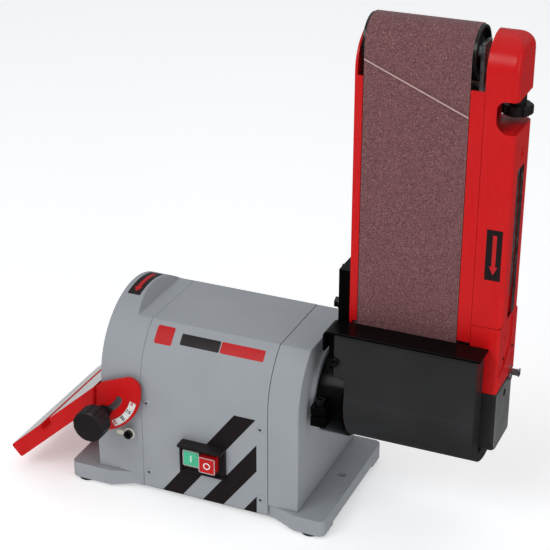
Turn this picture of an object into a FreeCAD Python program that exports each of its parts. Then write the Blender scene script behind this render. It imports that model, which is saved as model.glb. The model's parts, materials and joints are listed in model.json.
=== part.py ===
import FreeCAD, Part
import math
import operator
import os
import Sketcher

# Bench belt and disc sander. Units are millimetres and degrees.
# Frame: +X along the motor shaft from the disc to the belt, -Y towards the user, +Z up.
# The origin is on the bench, below the middle of the machine; the shaft lies in the plane Y = 0.

V = FreeCAD.Vector
AXES = {"X": V(1, 0, 0), "Y": V(0, 1, 0), "Z": V(0, 0, 1)}

SIZES = {
    # shaft and housings
    "shaft_z": 128.0,
    "shaft_radius": 8.0,
    "housing_radius": 80.0,
    "housing_top": 64.0,
    "housing_wall": 3.0,
    "cover_wall": 2.0,
    "seam": 0.3,
    "disc_end": -153.7,
    "tray_end": -161.0,
    "tray_top": 68.0,
    "left_seam": -108.0,
    "right_seam": 34.0,
    "housing_end": 67.0,
    "collar_end": 71.0,
    "collar_radius": 51.0,
    "spigot_end": 95.0,
    "spigot_radius": 30.0,
    "bearing_radius": 17.5,
    "bearing_width": 12.0,
    # base casting
    "base_left": -192.0,
    "base_right": 98.0,
    "base_half": 86.5,
    "base_rear": 83.0,
    "base_flank": 78.5,
    "base_waist": 77.3,
    "base_low": 3.5,
    "base_top": 21.5,
    "foot_radius": 10.0,
    "foot_inset": 11.0,
    "bench_slot_length": 10.0,
    "bench_slot_width": 7.0,
    "bench_slot_pitch": 258.5,
    "bench_slot_y": 3.5,
    # motor
    "stator_left": -75.0,
    "stator_right": 5.0,
    "stator_radius": 62.0,
    "stator_bore": 36.0,
    "winding_length": 17.0,
    "rotor_radius": 35.5,
    # disc
    "disc_radius": 75.0,
    "disc_plate_thick": 6.5,
    "abrasive_thick": 1.2,
    "disc_recess": 0.3,
    # table, drawn level about its tilt axis
    "tilt_x": -160.5,
    "tilt_z": 126.0,
    "tilt_angle": 42.0,
    "table_top": -5.0,
    "table_inner": 1.0,
    "table_outer": -142.5,
    "table_half": 92.0,
    "table_edge": 17.0,
    "table_plate": 6.0,
    "mitre_inner": -76.0,
    "mitre_width": 16.0,
    "mitre_depth": 7.2,
    "quadrant_radius": 56.0,
    "quadrant_face": 88.0,
    "quadrant_thick": 4.0,
    "clamp_arc": 34.0,
    "clamp_angle": -66.0,
    "clamp_slot": 3.6,
    "stud_radius": 3.0,
    "knob_radius": 17.2,
    "knob_front": 124.5,
    "knob_back": 103.5,
    # belt and rollers
    "belt_left": 107.0,
    "belt_width": 100.0,
    "belt_thick": 1.0,
    "belt_length": 914.0,
    "drum_radius": 27.2,
    "idler_radius": 25.2,
    "belt_gap": 0.3,
    "roller_gap": 3.0,
    "axle_radius": 6.0,
    # belt arm, heights above the shaft
    "arm_left": 98.5,
    "arm_wall": 2.5,
    "arm_rear": 33.0,
    "arm_top": 385.0,
    "lip_top": 345.0,
    "stop_top": 95.0,
    "spine_low": 45.0,
    "spine_top": 300.0,
    "spine_rear": 16.0,
    "cover_left": 221.0,
    "cover_right": 251.0,
    "cover_low": 115.5,
    "cover_top": 394.0,
    "cover_rear": 25.5,
    "notch_low": 308.0,
    "notch_high": 338.5,
    "guard_left": 104.0,
    "guard_tab_left": 93.0,
    "guard_right": 236.0,
    "guard_radius": 52.0,
    "guard_y": -3.0,
    "guard_z": 12.5,
    "guard_thick": 2.0,
    "hub_left": 71.5,
    "hub_radius": 46.0,
    "hub_clearance": 0.05,
}

doc = FreeCAD.newDocument("BeltDiscSander")
sheet = doc.addObject("Spreadsheet::Sheet", "dims")
for row, (name, value) in enumerate(SIZES.items(), start=1):
    sheet.set(f"A{row}", name)
    sheet.set(f"B{row}", str(value))
    sheet.setAlias(f"B{row}", name)
doc.recompute()


class Size:
    """A number together with the sheet expression that gives it."""

    def __init__(self, text, value):
        self.text = text
        self.value = value

    def __add__(self, other):
        return joined(self, "+", other)

    def __radd__(self, other):
        return joined(other, "+", self)

    def __sub__(self, other):
        return joined(self, "-", other)

    def __rsub__(self, other):
        return joined(other, "-", self)

    def __mul__(self, other):
        return joined(self, "*", other)

    def __rmul__(self, other):
        return joined(other, "*", self)

    def __truediv__(self, other):
        return joined(self, "/", other)

    def __neg__(self):
        return joined(0, "-", self)

    def __float__(self):
        return float(self.value)


SIGNS = {"+": operator.add, "-": operator.sub, "*": operator.mul, "/": operator.truediv}


def as_size(number):
    return number if isinstance(number, Size) else Size(f"({float(number)})", float(number))


def joined(left, sign, right):
    left, right = as_size(left), as_size(right)
    return Size(f"({left.text} {sign} {right.text})", SIGNS[sign](left.value, right.value))


class Dims:
    """Attribute access to the sheet, one Size per alias."""

    def __getattr__(self, name):
        return Size(f"dims.{name}", float(sheet.get(name)))


d = Dims()
SHAFT = d.shaft_z
NODES = []


# ---------------------------------------------------------------- building blocks

def bind(obj, prop, size):
    obj.setExpression(prop, as_size(size).text)


def place(obj, x, y, z, turn=None):
    obj.Placement = FreeCAD.Placement(V(float(x), float(y), float(z)), turn or FreeCAD.Rotation())
    bind(obj, "Placement.Base.x", x)
    bind(obj, "Placement.Base.y", y)
    bind(obj, "Placement.Base.z", z)
    return obj


def node(obj, label):
    obj.Label = label
    NODES.append(obj)
    return obj


def box(x, y, z):
    """Block between the two ends given along each axis."""
    obj = doc.addObject("Part::Box", "block")
    for prop, (low, high) in zip(("Length", "Width", "Height"), (x, y, z)):
        bind(obj, prop, as_size(high) - low)
    return place(obj, x[0], y[0], z[0])


TURNS = {
    "X": FreeCAD.Rotation(AXES["Y"], 90),
    "Y": FreeCAD.Rotation(AXES["X"], -90),
    "Z": FreeCAD.Rotation(),
}


def rod(axis, span, radius, centre):
    """Cylinder along an axis; centre is its place in the other two axes, in X, Y, Z order."""
    obj = doc.addObject("Part::Cylinder", "rod")
    bind(obj, "Radius", radius)
    bind(obj, "Height", as_size(span[1]) - span[0])
    spots = list(centre)
    spots.insert("XYZ".index(axis), span[0])
    return place(obj, *spots, turn=TURNS[axis])


def hexagon(axis, span, across, centre):
    """Hexagonal prism for bolt heads and sockets, by its width across the flats."""
    obj = doc.addObject("Part::Prism", "hexagon")
    obj.Polygon = 6
    bind(obj, "Circumradius", as_size(across) / math.sqrt(3.0))
    bind(obj, "Height", as_size(span[1]) - span[0])
    spots = list(centre)
    spots.insert("XYZ".index(axis), span[0])
    return place(obj, *spots, turn=TURNS[axis])


def fuse(*parts):
    obj = doc.addObject("Part::MultiFuse", "fuse")
    obj.Shapes = list(parts)
    obj.Refine = True
    return obj


def cut(base, *tools):
    obj = doc.addObject("Part::Cut", "cut")
    obj.Base = base
    obj.Tool = tools[0] if len(tools) == 1 else fuse(*tools)
    obj.Refine = True
    return obj


def common(*parts):
    obj = doc.addObject("Part::MultiCommon", "common")
    obj.Shapes = list(parts)
    return obj


def group(*parts):
    """Separate solids kept together in one sub-part."""
    obj = doc.addObject("Part::Compound", "group")
    obj.Links = list(parts)
    return obj


def mirrored(source):
    """The same part on the other side of the plane Y = 0."""
    obj = doc.addObject("Part::Mirroring", "mirrored")
    obj.Source = source
    obj.Normal = AXES["Y"]
    obj.Base = V(0, 0, 0)
    return obj


def tangent_wire(corners, to_space):
    """Closed outline through (u, v, radius) corners, each rounded by an arc tangent to its sides."""
    flat = [(V(float(u), float(v), 0), float(r)) for u, v, r in corners]
    ends = []
    for index, (corner, radius) in enumerate(flat):
        before = (flat[index - 1][0] - corner).normalize()
        after = (flat[(index + 1) % len(flat)][0] - corner).normalize()
        if radius == 0:
            ends.append((corner, None, corner))
            continue
        half = before.getAngle(after) / 2
        reach = radius / math.tan(half)
        inward = (before + after).normalize()
        middle = corner + inward * (radius / math.sin(half) - radius)
        ends.append((corner + before * reach, middle, corner + after * reach))
    edges = []
    for index, (start, middle, end) in enumerate(ends):
        if middle is not None:
            arc = Part.Arc(to_space(start), to_space(middle), to_space(end))
            edges.append(arc.toShape())
        following = ends[(index + 1) % len(ends)][0]
        if (following - end).Length > 1e-6:
            edges.append(Part.LineSegment(to_space(end), to_space(following)).toShape())
    return Part.Wire(edges)


def feature(shape, x=0, y=0, z=0, turn=None):
    """Sub-part whose outline is worked out from the sheet, then placed."""
    obj = doc.addObject("Part::Feature", "profile")
    obj.Shape = shape
    return place(obj, x, y, z, turn)


def slab_x(corners, x):
    """Outline in (y, height above the shaft), extruded along X."""
    wire = tangent_wire(corners, lambda p: V(0, p.x, p.y))
    solid = Part.Face(wire).extrude(V(float(as_size(x[1]) - x[0]), 0, 0))
    return feature(solid, x[0], 0, SHAFT)


def slab_y(corners, y):
    """Outline in (x, z), extruded along Y."""
    wire = tangent_wire(corners, lambda p: V(p.x, 0, p.y))
    solid = Part.Face(wire).extrude(V(0, float(as_size(y[1]) - y[0]), 0))
    return feature(solid, 0, y[0], 0)


def rounded(obj, radius, chosen):
    """Part::Fillet on the edges that the test picks out of the finished shape."""
    doc.recompute()
    result = doc.addObject("Part::Fillet", "rounded")
    result.Base = obj
    picked = [n for n, edge in enumerate(obj.Shape.Edges, start=1) if chosen(edge)]
    result.Edges = [(n, float(radius), float(radius)) for n in picked]
    return result


def along(edge, axis):
    """True for a straight edge parallel to the axis."""
    straight = isinstance(edge.Curve, Part.Line)
    return straight and abs(abs(edge.Curve.Direction.dot(AXES[axis])) - 1) < 1e-6


# ---------------------------------------------------------------- sketched bodies

def new_body(label):
    return node(doc.addObject("PartDesign::Body", label), label)


def new_sketch(body, role, offset=0):
    plane = next(f for f in body.Origin.OriginFeatures if f.Role == role)
    sketch = body.newObject("Sketcher::SketchObject", "sketch")
    sketch.AttachmentSupport = [(plane, "")]
    sketch.MapMode = "FlatFace"
    bind(sketch, "AttachmentOffset.Base.z", offset)
    return sketch


def pin_point(sketch, index, end, u, v):
    """Holds one sketch point at (u, v), each bound to the sheet."""
    for kind, axis, size in (("DistanceX", -2, as_size(u)), ("DistanceY", -1, as_size(v))):
        if size.value == 0:
            sketch.addConstraint(Sketcher.Constraint("PointOnObject", index, end, axis))
            continue
        held = sketch.addConstraint(Sketcher.Constraint(kind, -1, 1, index, end, size.value))
        sketch.setExpression(f"Constraints[{held}]", size.text)


def draw_outline(sketch, points):
    spots = [V(float(u), float(v), 0) for u, v in points]
    first = sketch.GeometryCount
    for start, end in zip(spots, spots[1:] + spots[:1]):
        sketch.addGeometry(Part.LineSegment(start, end), False)
    count = len(points)
    for n in range(count):
        following = first + (n + 1) % count
        sketch.addConstraint(Sketcher.Constraint("Coincident", first + n, 2, following, 1))
    for n, (u, v) in enumerate(points):
        pin_point(sketch, first + n, 1, u, v)


def draw_circle(sketch, u, v, radius):
    radius = as_size(radius)
    index = sketch.addGeometry(Part.Circle(V(float(u), float(v), 0), V(0, 0, 1), radius.value), False)
    held = sketch.addConstraint(Sketcher.Constraint("Radius", index, radius.value))
    sketch.setExpression(f"Constraints[{held}]", radius.text)
    pin_point(sketch, index, 3, u, v)


def pad(body, sketch, length, midplane=False, reverse=False):
    made = body.newObject("PartDesign::Pad", "pad")
    made.Profile = sketch
    bind(made, "Length", length)
    made.Midplane = midplane
    made.Reversed = reverse
    return made


def pocket(body, sketch, length, midplane=False, reverse=False):
    """Cuts the sketch out of the body and checks that something went."""
    doc.recompute()
    before = body.Shape.Volume
    made = body.newObject("PartDesign::Pocket", "pocket")
    made.Profile = sketch
    bind(made, "Length", length)
    made.Midplane = midplane
    made.Reversed = reverse
    doc.recompute()
    if body.Shape.Volume > before - 1:
        raise RuntimeError(f"{body.Label}: a pocket removed nothing")
    return made


def soften(body, radius, chosen):
    """Rounds the edges of the body that the test picks out."""
    doc.recompute()
    base = body.Tip
    picked = [f"Edge{n}" for n, edge in enumerate(base.Shape.Edges, start=1) if chosen(edge)]
    rounding = body.newObject("PartDesign::Fillet", "rounding")
    rounding.Base = (base, picked)
    rounding.Radius = radius
    doc.recompute()
    return rounding


def turned(body, points):
    """Solid of revolution about the body's own X axis, from (x, radius) points."""
    sketch = new_sketch(body, "XZ_Plane")
    draw_outline(sketch, points)
    made = body.newObject("PartDesign::Revolution", "revolution")
    made.Profile = sketch
    made.ReferenceAxis = (sketch, ["H_Axis"])
    made.Angle = 360.0
    return made


def repeated_round_x(body, made, count):
    """Polar pattern of a feature about the body's X axis."""
    pattern = body.newObject("PartDesign::PolarPattern", "pattern")
    pattern.Originals = [made]
    axis = next(f for f in body.Origin.OriginFeatures if f.Role == "X_Axis")
    pattern.Axis = (axis, [""])
    pattern.Angle = 360.0
    pattern.Occurrences = count
    body.Tip = pattern
    return pattern


# ---------------------------------------------------------------- base

def make_base():
    body = new_body("base_frame")
    step_left = d.left_seam - 1
    step_right = d.right_seam + 2
    half, rear_half, flank, waist = d.base_half, d.base_rear, d.base_flank, d.base_waist
    # the corner pads stand out from the flanks; a slanted facet leads back from each
    pad_left, pad_right, facet = d.base_left + 47.5, d.base_right - 33, 24.0
    def side(pad_y):
        return [
            (d.base_left, pad_y), (pad_left, pad_y), (pad_left + facet, flank), (step_left, flank),
            (step_left, waist), (step_right, waist), (step_right, flank), (pad_right - facet, flank),
            (pad_right, pad_y), (d.base_right, pad_y),
        ]
    outline = [(x, -y) for x, y in side(half)] + side(rear_half)[::-1]
    sketch = new_sketch(body, "XY_Plane", d.base_low)
    draw_outline(sketch, outline)
    pad(body, sketch, d.base_top - d.base_low)
    ends = (SIZES["base_left"], SIZES["base_right"])
    soften(body, 7.0, lambda e: along(e, "Z") and min(abs(e.CenterOfMass.x - end) for end in ends) < 0.01)

    rim_x, rim_y, roof = 25.0, 22.5, 5.0
    hollow = new_sketch(body, "XY_Plane", d.base_low)
    left, right = d.base_left + rim_x, d.base_right - rim_x
    draw_outline(hollow, [(left, -half + rim_y), (right, -half + rim_y),
                          (right, rear_half - rim_y), (left, rear_half - rim_y)])
    pocket(body, hollow, d.base_top - d.base_low - roof, reverse=True)

    # the underside rises along the facets, so that only the corner pads reach the feet
    raised, pad_depth, outside = 3.2, 27.0, 5.0
    arch_x = new_sketch(body, "XZ_Plane")
    draw_outline(arch_x, [(pad_left, d.base_low - outside), (pad_left, d.base_low),
                          (pad_left + facet, d.base_low + raised), (pad_right - facet, d.base_low + raised),
                          (pad_right, d.base_low), (pad_right, d.base_low - outside)])
    pocket(body, arch_x, 2 * (half + outside), midplane=True)
    arch_y = new_sketch(body, "XY_Plane", d.base_low)
    left, right = d.base_left - outside, d.base_right + outside
    draw_outline(arch_y, [(left, -half + pad_depth), (right, -half + pad_depth),
                          (right, rear_half - pad_depth), (left, rear_half - pad_depth)])
    pocket(body, arch_y, raised, reverse=True)

    middle = (d.base_left + d.base_right) / 2
    reach = (d.bench_slot_length - d.bench_slot_width) / 2
    wide = d.bench_slot_width / 2
    for side in (-0.5, 0.5):
        x, y = middle + side * d.bench_slot_pitch, d.bench_slot_y
        slot = new_sketch(body, "XY_Plane", d.base_low)
        draw_outline(slot, [(x - reach, y - wide), (x + reach, y - wide),
                            (x + reach, y + wide), (x - reach, y + wide)])
        pocket(body, slot, d.base_top, reverse=True)
        for end in (-1, 1):
            bore = new_sketch(body, "XY_Plane", d.base_low)
            draw_circle(bore, x + end * reach, y, wide)
            pocket(body, bore, d.base_top, reverse=True)

    inset = d.foot_inset
    feet = [
        rod("Z", (0, d.base_low), d.foot_radius, (x, y))
        for x in (d.base_left + inset + 3, d.base_right - inset - 7)
        for y in (-half + inset, rear_half - inset)
    ]
    node(group(*feet), "rubber_feet")


# ---------------------------------------------------------------- housings

def housing_section(x, wall, low, flat_top=True):
    """Solid of the housing's section between two stations: upright walls under a round top."""
    half = d.housing_radius - wall
    solid = fuse(box(x, (-half, half), (low, SHAFT)), rod("X", x, half, (0, SHAFT)))
    if not flat_top:
        return solid
    over = 5.0
    top = SHAFT + d.housing_top - wall
    above = box((x[0] - over, x[1] + over), (-half - over, half + over), (top, SHAFT + half + over))
    return cut(solid, above)


def shoulder(step):
    """Wedge that slopes the round disc housing down to the flat top."""
    start, foot, beyond, over = -131.0, -124.5, -100.0, 90.0
    top = float(SHAFT) + SIZES["housing_top"] - step
    crown = float(SHAFT) + SIZES["housing_radius"] + step
    corners = [(start - step, crown, 0), (foot - step, top, 0), (beyond, top, 0), (beyond, crown, 0)]
    return slab_y(corners, (-over, over))


def make_housings():
    wall, thin = d.housing_wall, d.cover_wall
    seat = d.bearing_radius + 5
    seat_end = d.left_seam + d.bearing_width - 2

    # disc housing: open towards the disc, with the left bearing in its inner wall
    outer = housing_section((d.disc_end, d.left_seam), as_size(0), d.base_top, flat_top=False)
    inner = housing_section((d.disc_end - 1, d.left_seam - 4), wall, d.base_top + wall, flat_top=False)
    shell = cut(cut(outer, shoulder(0.0)), cut(inner, shoulder(3.0)))
    with_seat = fuse(shell, rod("X", (d.left_seam - 4, seat_end), seat, (0, SHAFT)))
    boss = rod("Y", (-d.quadrant_face + 2, -d.housing_radius + 1), 4.0, pointer_spot())
    left_bore = rod("X", (d.left_seam - 5, seat_end + 1), d.bearing_radius, (0, SHAFT))
    # shallow dust tray in front of the lower part of the disc
    half = d.housing_radius
    tray = box((d.tray_end, d.disc_end), (-half, half), (d.base_top, d.tray_top))
    tray_room = box((d.tray_end + 2.5, d.disc_end + 1), (-half + wall, half - wall),
                    (d.base_top + wall, d.tray_top + 1))
    node(cut(fuse(with_seat, boss, cut(tray, tray_room)), left_bore), "disc_housing")

    # motor cover: thin folded shell over the motor
    span = (d.left_seam + d.seam, d.right_seam - d.seam)
    hem = d.base_top - 11
    outer = housing_section(span, as_size(0), hem)
    inner = housing_section((span[0] - 1, span[1] + 1), thin, hem - 1)
    holes = [rod("Y", (-90, -70), 2.1, spot) for spot in cover_screw_spots()]
    switch_window = box((-60.1, -15), (-90, -70), (45, 75.5))
    gland_hole = rod("Y", (70, 90), 6.2, (GLAND_X, GLAND_Z))
    node(cut(cut(outer, inner), switch_window, gland_hole, *holes), "motor_cover")

    # end housing: closed wall with the round collar and the spigot that carries the belt arm
    outer = housing_section((d.right_seam, d.housing_end), as_size(0), d.base_top)
    inner = housing_section((d.right_seam - 1, d.housing_end - 4), wall, d.base_top - 1)
    shell = cut(outer, inner)
    seat_start = d.housing_end - d.bearing_width
    solid = fuse(
        shell,
        rod("X", (seat_start, d.housing_end), seat, (0, SHAFT)),
        rod("X", (d.housing_end, d.collar_end), d.collar_radius, (0, SHAFT)),
        rod("X", (d.collar_end, d.spigot_end), d.spigot_radius, (0, SHAFT)),
    )
    node(
        cut(
            solid,
            rod("X", (seat_start - 1, d.housing_end), d.bearing_radius, (0, SHAFT)),
            rod("X", (d.housing_end - 1, d.spigot_end + 1), d.shaft_radius + 4, (0, SHAFT)),
        ),
        "end_housing",
    )


def cover_screw_spots():
    left, right = d.left_seam + 7, d.right_seam - 7.5
    return [(left, SHAFT - 17), (left, SHAFT - 100), (right, SHAFT - 18), (right, SHAFT - 101)]


def dome_screw(y, spot, radius, rise):
    """Domed screw head on a short shank, pointing along -Y."""
    ball = doc.addObject("Part::Sphere", "dome")
    sphere_radius = (radius * radius + rise * rise) / (2 * rise)
    ball.Radius = sphere_radius
    place(ball, spot[0], y + (sphere_radius - rise), spot[1])
    cap = common(ball, rod("Y", (y - rise - 1, y), radius, spot))
    socket = hexagon("Y", (y - rise - 1, y - rise + 1.2), 2.4, spot)
    return cut(fuse(cap, rod("Y", (y, y + 10), 2.0, spot)), socket)


def make_cover_screws():
    heads = [dome_screw(-d.housing_radius, spot, 4.6, 1.8) for spot in cover_screw_spots()]
    node(group(*heads), "cover_screws")


GLAND_X, GLAND_Z = -90.0, 48.0


def make_gland():
    wall = d.housing_radius
    spot = (GLAND_X, GLAND_Z)
    solid = fuse(
        rod("Y", (wall - 8, wall + 3), 6.0, spot),
        hexagon("Y", (wall, wall + 5), 19.0, spot),
        rod("Y", (wall + 3, wall + 14), 7.5, spot),
    )
    node(cut(solid, rod("Y", (wall - 9, wall + 15), 3.6, spot)), "cable_gland")


# ---------------------------------------------------------------- motor

def tube(span, outer, inner, centre=(0, SHAFT)):
    longer = (span[0] - 1, span[1] + 1)
    return cut(rod("X", span, outer, centre), rod("X", longer, inner, centre))


def make_motor():
    left, right = d.stator_left, d.stator_right
    node(tube((left, right), d.stator_radius, d.stator_bore), "motor_stator")
    coil = (d.stator_radius - 7, d.stator_bore + 2)
    windings = [tube((left - d.winding_length, left), *coil), tube((right, right + d.winding_length), *coil)]
    node(group(*windings), "stator_windings")
    node(tube((left, right), d.rotor_radius, d.shaft_radius), "motor_rotor")
    seat_left = (d.left_seam - 4, d.left_seam - 4 + d.bearing_width)
    seat_right = (d.housing_end - d.bearing_width, d.housing_end)
    node(tube(seat_left, d.bearing_radius, d.shaft_radius + 0.05), "bearing_left")
    node(tube(seat_right, d.bearing_radius, d.shaft_radius + 0.05), "bearing_right")
    node(rod("X", (disc_back(), d.belt_left + d.belt_width + 5), d.shaft_radius, (0, SHAFT)), "motor_shaft")

    hub_left = right + d.winding_length + 4
    node(fuse(tube((hub_left, hub_left + 12), 14.0, d.shaft_radius), *fan_blades(hub_left)), "cooling_fan")

    saddle = box((-60, -10), (-38, 38), (d.base_top, SHAFT - 30))
    node(cut(saddle, rod("X", (-61, -9), d.stator_radius, (0, SHAFT))), "motor_cradle")
    capacitor_radius = 17.0
    node(rod("X", (-70, 0), capacitor_radius, (58, d.base_top + capacitor_radius)), "run_capacitor")


def fan_blades(start):
    """Backing disc and eight straight vanes of the motor's cooling fan."""
    backing = tube((start, start + 2), 46.0, 13.0)
    wheel = [backing]
    for n in range(8):
        vane = doc.addObject("Part::Box", "vane")
        vane.Length, vane.Width, vane.Height = 10.0, 32.0, 2.0
        angle = math.radians(45.0 * n)
        turn = FreeCAD.Rotation(AXES["X"], 45.0 * n)
        place(vane, start + 1, 13.0 * math.cos(angle), SHAFT + 13.0 * math.sin(angle), turn)
        wheel.append(vane)
    return wheel


# ---------------------------------------------------------------- disc

def disc_face():
    return d.disc_end + d.disc_recess


def disc_back():
    return disc_face() + d.abrasive_thick + d.disc_plate_thick


def make_disc():
    body = new_body("disc_plate")
    plate = d.disc_plate_thick
    hub_radius, hub_length = 16.0, 20.0
    turned(body, [
        (0, 0), (0, d.disc_radius), (plate, d.disc_radius), (plate, hub_radius),
        (plate + hub_length, hub_radius), (plate + hub_length, d.shaft_radius),
        (plate, d.shaft_radius), (plate, 0),
    ])
    place(body, disc_face() + d.abrasive_thick, 0, SHAFT)
    face = disc_face()
    node(rod("X", (face, face + d.abrasive_thick), d.disc_radius, (0, SHAFT)), "disc_abrasive")


# ---------------------------------------------------------------- switch

START_X, STOP_X, BUTTON_Z = -48.9, -28.2, 60.2
START_HALF, STOP_HALF = 9.3, 9.1


def make_switch():
    face = -d.housing_radius
    left, right, low, high = -61.3, -12.0, 43.0, 78.0
    bezel = box((left, right), (face - 4, face), (low, high))
    box_behind = box((left + 1.6, right - 3.4), (face, face + 24), (low + 2.5, high - 3))
    hood = box((left, right), (face - 13, face - 4), (high - 3, high))
    chin = box((left, right), (face - 6, face - 4), (low, low + 2.5))
    cheek = box((left, left + 2), (face - 8, face - 4), (low, high))
    clearance, bottom = 0.4, face + 20
    wells = [
        box((x - half - clearance, x + half + clearance), (face - 20, bottom),
            (BUTTON_Z - half - clearance, BUTTON_Z + half + clearance))
        for x, half in ((START_X, START_HALF), (STOP_X, STOP_HALF))
    ]
    node(cut(fuse(bezel, box_behind, hood, chin, cheek), *wells), "switch_body")
    make_button("start_button", START_X, START_HALF, 2.5)
    make_button("stop_button", STOP_X, STOP_HALF, 8.5)


def make_button(label, x, half, proud):
    """Square push button with rounded edges, drawn on its own front face."""
    body = new_body(label)
    sketch = new_sketch(body, "XZ_Plane")
    draw_outline(sketch, [(-half, -half), (half, -half), (half, half), (-half, half)])
    depth = 16.0
    pad(body, sketch, depth + proud)
    soften(body, 1.5, lambda e: along(e, "Y"))
    place(body, x, -d.housing_radius - 4 + depth, BUTTON_Z)


# ---------------------------------------------------------------- tilting table

def tilted(obj, y=0):
    """Puts a part drawn level about the tilt axis at the table's present angle."""
    turn = FreeCAD.Rotation(AXES["Y"], -SIZES["tilt_angle"])
    return place(obj, d.tilt_x, y, d.tilt_z, turn)


def polar(radius, degrees):
    angle = math.radians(degrees)
    return V(radius * math.cos(angle), 0, radius * math.sin(angle))


def arc_edge(radius, start, end):
    return Part.Arc(polar(radius, start), polar(radius, (start + end) / 2), polar(radius, end)).toShape()


def ring_sector(inner, outer, start, end, thick):
    """Flat piece of a ring about the tilt axis, between two angles."""
    wire = Part.Wire([
        arc_edge(outer, start, end),
        Part.LineSegment(polar(outer, end), polar(inner, end)).toShape(),
        arc_edge(inner, end, start),
        Part.LineSegment(polar(inner, start), polar(outer, start)).toShape(),
    ])
    return Part.Face(wire).extrude(V(0, thick, 0))


def quadrant_shape():
    """Front quadrant: radial top edge, round rim and an arc slot for the clamp stud."""
    radius = SIZES["quadrant_radius"]
    thick = SIZES["quadrant_thick"]
    under = SIZES["table_top"] - 1
    start, end = -22.7, -116.0
    rim_top, rim_end = polar(radius, start), polar(radius, end)
    neck = V(10.0, 0, under - 0.4)
    inner_top, inner_low = V(-45, 0, under), V(-45, 0, -22)
    wire = Part.Wire([
        Part.LineSegment(inner_top, neck).toShape(),
        Part.LineSegment(neck, rim_top).toShape(),
        arc_edge(radius, start, end),
        Part.LineSegment(rim_end, inner_low).toShape(),
        Part.LineSegment(inner_low, inner_top).toShape(),
    ])
    plate = Part.Face(wire).extrude(V(0, thick, 0))
    corner = [e for e in plate.Edges if along(e, "Y") and e.CenterOfMass.distanceToPoint(rim_top) < thick]
    plate = plate.makeFillet(12.0, corner)
    slot_start, slot_end = -66.0, -111.5
    reach, half = SIZES["clamp_arc"], SIZES["clamp_slot"]
    slot = ring_sector(reach - half, reach + half, slot_start, slot_end, thick)
    for angle in (slot_start, slot_end):
        slot = slot.fuse(Part.makeCylinder(half, thick, polar(reach, angle), AXES["Y"]))
    return plate.cut(slot).removeSplitter()


def make_table():
    body = new_body("disc_table")
    top, inner, outer = d.table_top, d.table_inner, d.table_outer
    edge, plate = d.table_edge, d.table_plate
    section = new_sketch(body, "XZ_Plane")
    draw_outline(section, [(inner, top), (inner - edge, top - edge), (outer, top - edge), (outer, top)])
    pad(body, section, 2 * d.table_half, midplane=True)
    skirt, over = 5.0, 2.0
    channel = d.mitre_inner + 6
    channel_far = d.mitre_inner - d.mitre_width - 6
    hollows = [
        [(outer + skirt, top - plate), (outer + skirt, top - edge - over),
         (channel_far, top - edge - over), (channel_far, top - plate)],
        [(channel, top - plate), (channel, top - edge - over),
         (inner - edge - 6, top - edge - over), (inner - edge - 6, top - plate)],
    ]
    for hollow in hollows:
        sketch = new_sketch(body, "XZ_Plane")
        draw_outline(sketch, hollow)
        pocket(body, sketch, 2 * (d.table_half - 4), midplane=True)
    groove = new_sketch(body, "XZ_Plane")
    far = d.mitre_inner - d.mitre_width
    draw_outline(groove, [(far, top + over), (d.mitre_inner, top + over),
                          (d.mitre_inner, top - d.mitre_depth), (far, top - d.mitre_depth)])
    pocket(body, groove, 2 * d.table_half + over, midplane=True)
    outer_end = SIZES["table_outer"]
    soften(body, 2.5, lambda e: along(e, "Y") and abs(e.CenterOfMass.x - outer_end) < 0.01)
    tilted(body)

    # each quadrant fits against the underside of the table
    front = cut(tilted(feature(quadrant_shape()), -d.quadrant_face), body)
    node(front, "front_quadrant")
    node(mirrored(front), "rear_quadrant")
    scale_thick = 0.5
    scale = ring_sector(46.0, 53.2, -58.0, -103.5, scale_thick)
    node(tilted(feature(scale), -d.quadrant_face - scale_thick), "angle_scale")


def clamp_spot():
    """Where the clamp studs cross the XZ plane; they stay with the housing."""
    angle = math.radians(SIZES["clamp_angle"])
    return d.tilt_x + d.clamp_arc * math.cos(angle), d.tilt_z + d.clamp_arc * math.sin(angle)


def make_clamps():
    spot = clamp_spot()
    wall = d.housing_radius
    stud_end = d.knob_back + 4
    node(rod("Y", (-stud_end, -wall), d.stud_radius, spot), "clamp_stud_front")
    node(rod("Y", (wall, stud_end), d.stud_radius, spot), "clamp_stud_rear")
    for label, turn in (("clamp_knob_front", -90), ("clamp_knob_rear", 90)):
        make_clamp_knob(label, turn, spot)


def make_clamp_knob(label, turn, spot):
    """Fluted knob on a short neck, turned about its own X axis, then pointed along Y."""
    body = new_body(label)
    start = d.quadrant_face + 0.8
    bore = d.stud_radius + 0.06
    head, back = d.knob_front, d.knob_back
    bevel = 1.5
    turned(body, [
        (start, bore), (start, 7.5), (start + 2, 7.5), (start + 2, 6.2), (back - 2, 6.2),
        (back, d.knob_radius - 3), (back + 3, d.knob_radius), (head - bevel, d.knob_radius),
        (head, d.knob_radius - bevel), (head, 0), (back + 6, 0), (back + 6, bore),
    ])
    flute = new_sketch(body, "YZ_Plane", back - 1)
    draw_circle(flute, d.knob_radius + 1.6, 0, 2.6)
    made = pocket(body, flute, head - back + 3, reverse=True)
    repeated_round_x(body, made, 12)
    place(body, spot[0], 0, spot[1], FreeCAD.Rotation(AXES["Z"], turn))


def pointer_spot():
    return d.tilt_x + 40.9, d.tilt_z - 52.7


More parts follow.
